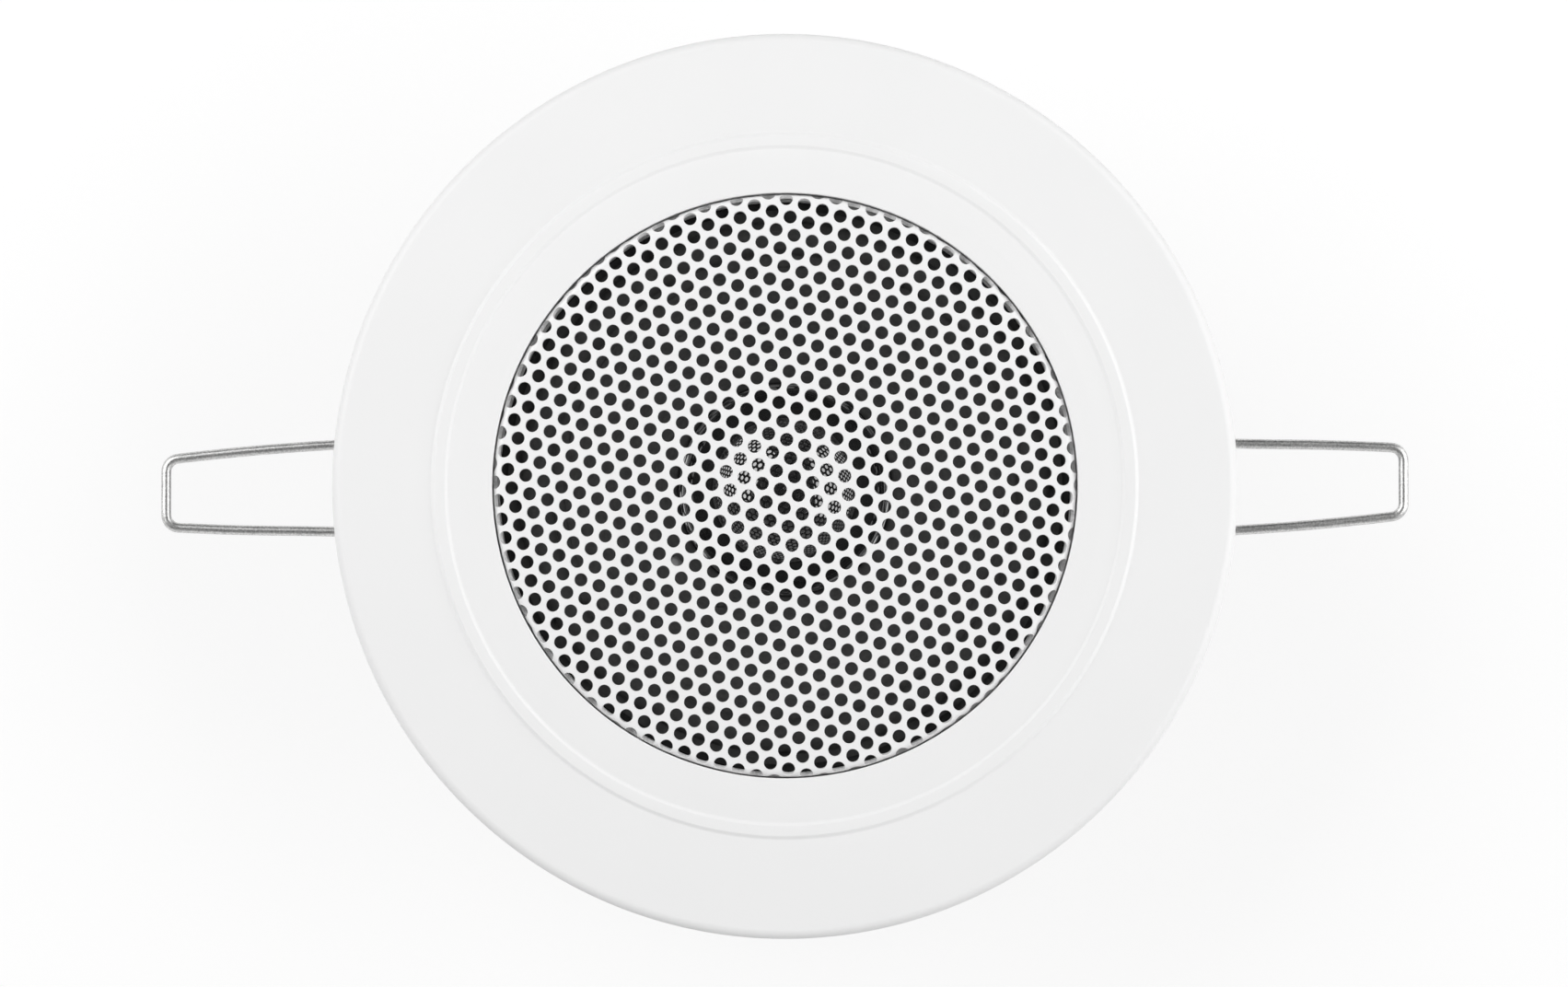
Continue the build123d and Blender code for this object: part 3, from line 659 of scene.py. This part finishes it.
# Terminal board: a strip of brown paper laminate, fixed to a spoke of the basket with an eyelet. Two tabs of
# tinned brass are staked into it.
laminate, shade = new_finish("paper_laminate", {"IOR": 1.5})
paper = grain(shade, 800, 5, (1.0, 1.0, 4.0))
feed(laminate, {
    "Base Color": between(paper, (0.15, 0.07, 0.03), (0.27, 0.14, 0.06)),
    "Roughness": 0.4 + 0.2 * paper,
})
dress("terminal_board", laminate)

tinned_brass, shade = new_finish("tinned_brass", {"Metallic": 1.0})
tarnish = grain(shade, 600, 4)
feed(tinned_brass, {
    "Base Color": between(tarnish, (0.60, 0.47, 0.22), (0.80, 0.68, 0.42)),
    "Roughness": 0.25 + 0.2 * tarnish,
})
for node in ("terminal_eyelet", "positive_tab", "negative_tab"):
    dress(node, tinned_brass)


# Lead joints: two eyelets in the cone's flank, brushed over with the cone's black cement. On one of them the
# solder of the joint still shows as a small grey blob.
cement, shade = new_finish("black_cement", {"IOR": 1.5})
brush = grain(shade, 700, 3)
feed(cement, {
    "Base Color": between(brush, (0.05, 0.05, 0.05), (0.10, 0.10, 0.10)),
    "Roughness": 0.5 + 0.3 * brush,
    "Normal": bumped(brush, 0.1 * MM, 0.6),
})
dress("lead_eyelets", cement)

blob_angle = math.radians(214)
blob_radius = 21.2 * MM
blob_height = -15.55 * MM
blob_size = (1.35 * MM, 1.2 * MM, 0.5 * MM)
blob_lump = 0.18
blob_lump_scale = 1.7
cone_slope = 0.638
blob_way = Vector((math.cos(blob_angle), math.sin(blob_angle), 0))
blob_place = blob_way * blob_radius + Vector((0, 0, blob_height))
cone_facing = Vector((0, 0, 1)) - blob_way * cone_slope
blob_turn = cone_facing.to_track_quat("Z", "Y").to_matrix().to_4x4()
build = bmesh.new()
bmesh.ops.create_icosphere(build, subdivisions=4, radius=1.0)
for vertex in build.verts:
    vertex.co *= 1 + blob_lump * noise.noise(vertex.co * blob_lump_scale)
build.transform(Matrix.Translation(blob_place) @ blob_turn @ Matrix.Diagonal((*blob_size, 1)))
blob_mesh = bpy.data.meshes.new("solder_blob")
build.to_mesh(blob_mesh)
build.free()
blob_mesh.shade_smooth()
solder_blob = in_scene("solder_blob", blob_mesh)
solder, shade = new_finish("solder", {"Metallic": 1.0})
flow = grain(shade, 900, 3)
feed(solder, {
    "Base Color": between(flow, (0.30, 0.30, 0.31), (0.50, 0.50, 0.50)),
    "Roughness": 0.35 + 0.25 * flow,
    "Normal": bumped(flow, 0.1 * MM, 0.5),
})
blob_mesh.materials.append(solder)
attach(solder_blob, "cone_assembly")


# Leads: two braided tinsel cords, soldered to the tabs and to the eyelets in the cone. They are slack enough
# to follow the cone's travel.
tinsel, shade = new_finish("tinsel_braid", {"Metallic": 0.8, "Roughness": 0.4})
braid = shade.node("TexVoronoi", inputs={"Vector": on_object(shade), "Scale": 4200.0})
feed(tinsel, {
    "Base Color": between(braid, (0.75, 0.50, 0.32), (0.35, 0.17, 0.08)),
    "Normal": bumped(braid, -0.1 * MM, 0.8),
})
for pole in ("positive", "negative"):
    braid_mesh = frame["nodes"][f"{pole}_lead"].data.copy()
    braid_mesh.name = f"{pole}_lead_braid"
    braid_mesh.materials.clear()
    braid_mesh.materials.append(tinsel)
    lead = in_scene(f"{pole}_lead_braid", braid_mesh)
    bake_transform(lead)
    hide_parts(f"{pole}_lead")


# Wire clips: bright drawn spring wire, bent to a loop between two coils that sit on the pin. One arm is
# straight, and the other has a slow bend. The loop swings, and the coils wind up between it and the tails
# that bear on the bezel.
def wire(name, line, radius, sides):
    """Round wire along a line of points, closed at both ends."""
    line = [Vector(point) for point in line]
    last = len(line) - 1
    ways = [(line[min(i + 1, last)] - line[max(i - 1, 0)]).normalized() for i in range(len(line))]
    side = ways[0].orthogonal().normalized()
    points = []
    for place, way in zip(line, ways):
        side = (side - way * side.dot(way)).normalized()
        other = way.cross(side)
        for step in range(sides):
            angle = 2 * math.pi * step / sides
            points.append(place + radius * (math.cos(angle) * side + math.sin(angle) * other))
    faces = []
    for near in range(0, last * sides, sides):
        far = near + sides
        faces += [(near + i, near + (i + 1) % sides, far + (i + 1) % sides, far + i) for i in range(sides)]
    faces.append(list(range(sides))[::-1])
    faces.append(list(range(last * sides, len(points))))
    mesh = bpy.data.meshes.new(name)
    mesh.from_pydata(points, [], faces)
    mesh.shade_smooth()
    mesh.set_sharp_from_angle(angle=math.radians(50))
    return in_scene(name, mesh)


bright_wire, shade = new_finish("bright_wire", {"Metallic": 1.0})
streak = grain(shade, 260, 4, (1.0, 10.0, 10.0))
pits = grain(shade, 3200, 4)
mottle = full_range(0.7 * pits + 0.3 * streak, 0.35, 0.65)
feed(bright_wire, {
    "Base Color": between(mottle, (0.44, 0.44, 0.44), (0.80, 0.80, 0.79)),
    "Roughness": 0.29 + 0.16 * pits,
    "Normal": bumped(pits + streak, 0.02 * MM, 0.7),
})

_, loop_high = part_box("right_clip_loop")
wire_radius = 0.8 * MM
loop_height = loop_high.z - wire_radius
coil_radius = loop_height - pivots["right_clip_swing"].z
coil_pitch = 1.7 * MM
coil_turns = 3.25
coil_steps = 40
coil_start = 7.9 * MM
coil_end = coil_start + coil_pitch * coil_turns
coil_tail = 5.5 * MM
coil_sides = 14

# The loop's plan, with its corners in millimetres, from the straight arm round the end bar to the bent arm
loop_corner = 2.1
corner_steps = 8
loop_stations = 241
loop_sides = 16
arm_bow = 0.2
arm_start = coil_start / MM
arm_slope = coil_pitch / (2 * math.pi * coil_radius)
bar_reach = (loop_high.x - wire_radius) / MM
straight_arm_tip = -arm_start + (bar_reach - pin.x) * arm_slope
bent_arm_run = 11.8
bent_arm_part = 0.85
bent_arm_tip = 6.37
bend_reach = pin.x + bent_arm_run
bend_offset = arm_start - bent_arm_run * arm_slope
bend_turn = math.atan(arm_slope) - math.atan((bend_offset - bent_arm_tip) / (bar_reach - bend_reach))
bend_radius = bent_arm_part * bent_arm_run / math.tan(abs(bend_turn) / 2)
plan = rounded((
    (pin.x, -arm_start, 0.0), (bar_reach, straight_arm_tip, loop_corner),
    (bar_reach, bent_arm_tip, loop_corner), (bend_reach, bend_offset, bend_radius), (pin.x, arm_start, 0.0),
), corner_steps)[corner_steps:-corner_steps]
lengths = np.concatenate(([0], np.cumsum(np.linalg.norm(np.diff(plan, axis=0), axis=1))))
stations = np.linspace(0, lengths[-1], loop_stations)
plan = np.column_stack([np.interp(stations, lengths, values) for values in plan.T])
free_part = np.clip((plan[:, 0] / MM - flange_radius) / (bar_reach - loop_corner - flange_radius), 0, 1)
plan[:, 1] += np.sign(plan[:, 1]) * arm_bow * MM * 4 * free_part * (1 - free_part)

for hand, sign in (("right", 1), ("left", -1)):
    loop_line = [(sign * x, sign * y, loop_height) for x, y in plan]
    loop = wire(f"{hand}_loop_wire", loop_line, wire_radius, loop_sides)
    loop.data.materials.append(bright_wire)
    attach(loop, f"{hand}_clip")
    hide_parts(f"{hand}_clip_loop")
    pivot = pivots[f"{hand}_clip_swing"]
    for place, side in (("upper", 1), ("lower", -1)):
        coil_line = []
        for step in range(int(coil_steps * coil_turns) + 1):
            angle = 2 * math.pi * step / coil_steps
            coil_line.append(pivot + Vector((-sign * coil_radius * math.sin(angle),
                                             side * (coil_start + coil_pitch * step / coil_steps),
                                             coil_radius * math.cos(angle))))
        coil_line.append(coil_line[-1] + (coil_line[-1] - coil_line[-2]).normalized() * coil_tail)
        coil = wire(f"{hand}_{place}_coil", coil_line, wire_radius, coil_sides)
        coil.data.materials.append(bright_wire)
        start = pivot + Vector((0, side * coil_end, 0))
        end = pivot + Vector((0, side * coil_start, 0))
        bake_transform(coil)
        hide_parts(f"{hand}_clip_coils")


# Studio: a pale floor under the speaker's magnet, a large soft light on each side and a plain pale sky.
# The camera looks down on the face, a little from the side of the lower edge.
floor_half = 6.0
floor_gap = 0.05 * MM
floor_lift = 0.5
floor_glow = 1.56
floor_mesh = bpy.data.meshes.new("floor")
floor_mesh.from_pydata([(-floor_half, -floor_half, 0), (floor_half, -floor_half, 0),
                        (floor_half, floor_half, 0), (-floor_half, floor_half, 0)], [], [(0, 1, 2, 3)])
floor = in_scene("floor", floor_mesh)
floor.location.z = cad_box[0][2] - floor_gap
paper_floor, shade = new_finish("paper_floor", {"Base Color": (0.45, 0.45, 0.45, 1), "Roughness": 0.9})
rays = shade.node("LightPath", output="Is Camera Ray")
for kind in ("Is Glossy Ray", "Is Transmission Ray"):
    rays = rays.maths("MAXIMUM", rays, rays.node("LightPath", output=kind))
tree = paper_floor.node_tree
lit = Shade(tree, tree.nodes["Principled BSDF"].outputs[0])
white = shade.node("Emission", inputs={"Color": (1, 1, 1, 1), "Strength": floor_glow})
mixed = shade.node("MixShader", inputs={0: floor_lift * rays, 1: lit, 2: white})
tree.links.new(mixed.socket, tree.nodes["Material Output"].inputs["Surface"])
floor_mesh.materials.append(paper_floor)

light_distance = 0.9


def soft_light(name, lean, turn, watts, width, height):
    """Softbox that faces the speaker from a lean off the vertical and a turn about it, in degrees."""
    lamp = bpy.data.lights.new(name, "AREA")
    lamp.shape = "RECTANGLE"
    lamp.size = width
    lamp.size_y = height
    lamp.energy = watts
    lean = math.radians(lean)
    turn = math.radians(turn)
    way = Vector((math.sin(lean) * math.cos(turn), math.sin(lean) * math.sin(turn), math.cos(lean)))
    light = in_scene(name, lamp)
    light.location = way * light_distance
    light.rotation_euler = way.to_track_quat("Z", "Y").to_euler()
    light.visible_camera = False


soft_light("left_softbox", 50, 151, 6.4, 0.9, 0.8)
soft_light("right_softbox", 56, 9, 7.5, 1.1, 1.0)

# The sky is darkest overhead and lightest low down beyond the speaker's lower edge
sky_least = 0.05
sky_gain = 0.6
sky_slant = 0.9
world = bpy.data.worlds.new("studio")
bpy.context.scene.world = world
world.use_nodes = True
air = Shade(world.node_tree)
sky_way = air.node("TexCoord", output="Generated")
sky_y = air.node("SeparateXYZ", inputs={0: sky_way}, output="Y")
sky_z = air.node("SeparateXYZ", inputs={0: sky_way}, output="Z")
sky = sky_least + sky_gain * (1 - sky_z) * (1 - sky_slant * sky_y)
world.node_tree.links.new(sky.socket, world.node_tree.nodes["Background"].inputs["Color"])

image_width = 1703
image_height = 1072
speaker_middle_px = (852.5, 527.0)
metres_per_px = 0.1452 * MM
camera_height = 1.1
camera_lean = math.radians(1.8)
lens = bpy.data.cameras.new("camera")
lens.sensor_width = 36.0
lens.lens = lens.sensor_width * camera_height / (image_width * metres_per_px)
camera = in_scene("camera", lens)
aim = Vector(((image_width / 2 - speaker_middle_px[0]) * metres_per_px,
              (speaker_middle_px[1] - image_height / 2) * metres_per_px, flange_face * MM))
camera.rotation_euler.x = camera_lean
camera.location = aim + camera_height * Vector((0, -math.sin(camera_lean), math.cos(camera_lean)))
bpy.context.scene.camera = camera
bpy.context.scene.view_settings.view_transform = "Standard"
